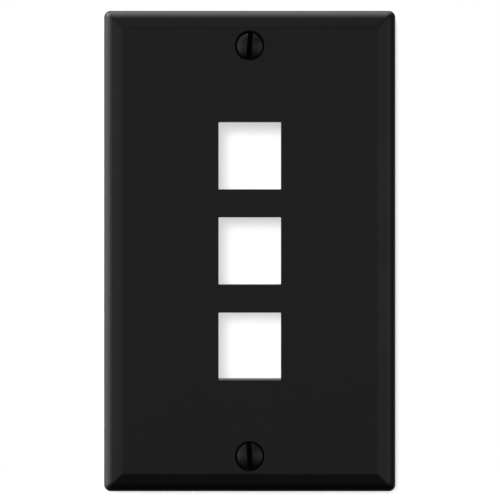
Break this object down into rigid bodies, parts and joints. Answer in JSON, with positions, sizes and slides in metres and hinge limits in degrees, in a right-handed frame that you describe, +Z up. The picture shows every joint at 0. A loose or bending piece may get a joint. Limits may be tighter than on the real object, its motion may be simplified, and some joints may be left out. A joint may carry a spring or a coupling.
{
  "type": "wall plate cover",
  "caption": "Upright rectangular wall plate with a bevelled rim, a column of snap-in jack ports and captive slotted screws in countersunk holes.",
  "frame": {"origin": "centre of the wall plane, the plane that the plate's back rim stands on", "axes": "+Z up, along the plate's long side; the front face looks along -Y; +Y points into the wall"},
  "size_m": [0.0694, 0.0168, 0.1142],
  "materials": {
    "plate_plastic": "black moulded plastic, satin, very fine grain",
    "screw_steel": "black paint on the head, bright zinc plating on the thread",
    "retainer_nylon": "natural nylon, stamped, slightly translucent"
  },
  "bodies": {
    "plate": {"wall_plate": "plate_plastic"},
    "upper_retainer": {"upper_screw_retainer": "retainer_nylon"},
    "upper_screw": {"upper_screw": "screw_steel"},
    "lower_retainer": {"lower_screw_retainer": "retainer_nylon"},
    "lower_screw": {"lower_screw": "screw_steel"}
  },
  "joints": [
    {"name": "upper_screw_travel", "type": "slide", "parent": "plate", "child": "upper_retainer", "axis": [0, -1, 0], "range_m": [0, 0.0017]},
    {"name": "upper_screw_turn", "type": "hinge", "parent": "upper_retainer", "child": "upper_screw", "pos_m": [0, 0, 0.04842], "axis": [0, 1, 0], "continuous": true},
    {"name": "lower_screw_travel", "type": "slide", "parent": "plate", "child": "lower_retainer", "axis": [0, -1, 0], "range_m": [0, 0.0017]},
    {"name": "lower_screw_turn", "type": "hinge", "parent": "lower_retainer", "child": "lower_screw", "pos_m": [0, 0, -0.04842], "axis": [0, 1, 0], "continuous": true}
  ]
}
